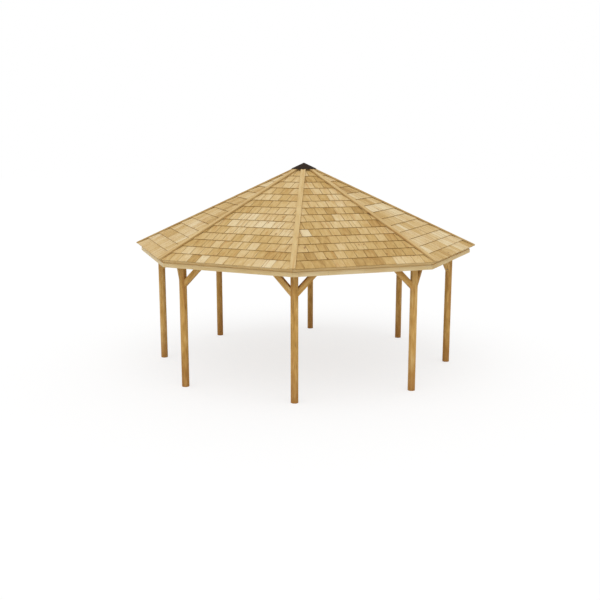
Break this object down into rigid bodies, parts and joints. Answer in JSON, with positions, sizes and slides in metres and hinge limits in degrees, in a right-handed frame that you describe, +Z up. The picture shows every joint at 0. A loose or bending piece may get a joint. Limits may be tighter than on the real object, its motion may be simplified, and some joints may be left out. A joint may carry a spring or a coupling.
{
  "type": "octagonal open-sided timber shelter",
  "caption": "Open octagonal timber outdoor classroom: eight-sided posts with knee braces carry a shingled pyramid roof with hip boards, fascia and a dark metal apex cap.",
  "frame": {"origin": "on the ground in the middle of the ring of posts, under the apex", "axes": "+Z up along the roof's axis of symmetry, -Y towards the front post, +X towards the right post"},
  "size_m": [6.3268, 6.3268, 3.7197],
  "materials": {
    "post_timber": "planed softwood, warm brown treatment",
    "frame_timber": "sawn softwood, warm brown treatment",
    "shingles": "pale sawn softwood shingles",
    "trim_timber": "pale planed softwood boards",
    "cap_metal": "matt dark brown paint on sheet metal"
  },
  "bodies": {
    "root": {"post_1": "post_timber", "post_2": "post_timber", "post_3": "post_timber", "post_4": "post_timber", "post_5": "post_timber", "post_6": "post_timber", "post_7": "post_timber", "post_8": "post_timber", "ring_beam_1": "frame_timber", "ring_beam_2": "frame_timber", "ring_beam_3": "frame_timber", "ring_beam_4": "frame_timber", "ring_beam_5": "frame_timber", "ring_beam_6": "frame_timber", "ring_beam_7": "frame_timber", "ring_beam_8": "frame_timber", "knee_braces_1": "post_timber", "knee_braces_2": "post_timber", "knee_braces_3": "post_timber", "knee_braces_4": "post_timber", "knee_braces_5": "post_timber", "knee_braces_6": "post_timber", "knee_braces_7": "post_timber", "knee_braces_8": "post_timber", "shingle_courses_1": "shingles", "shingle_courses_2": "shingles", "shingle_courses_3": "shingles", "shingle_courses_4": "shingles", "shingle_courses_5": "shingles", "shingle_courses_6": "shingles", "shingle_courses_7": "shingles", "shingle_courses_8": "shingles", "roof_decks": "frame_timber", "hip_rafters": "frame_timber", "common_rafters": "frame_timber", "jack_rafters": "frame_timber", "eave_rails": "trim_timber", "fascia_boards": "trim_timber", "hip_caps": "trim_timber", "apex_hub": "frame_timber", "apex_cap": "cap_metal"}
  },
  "joints": []
}
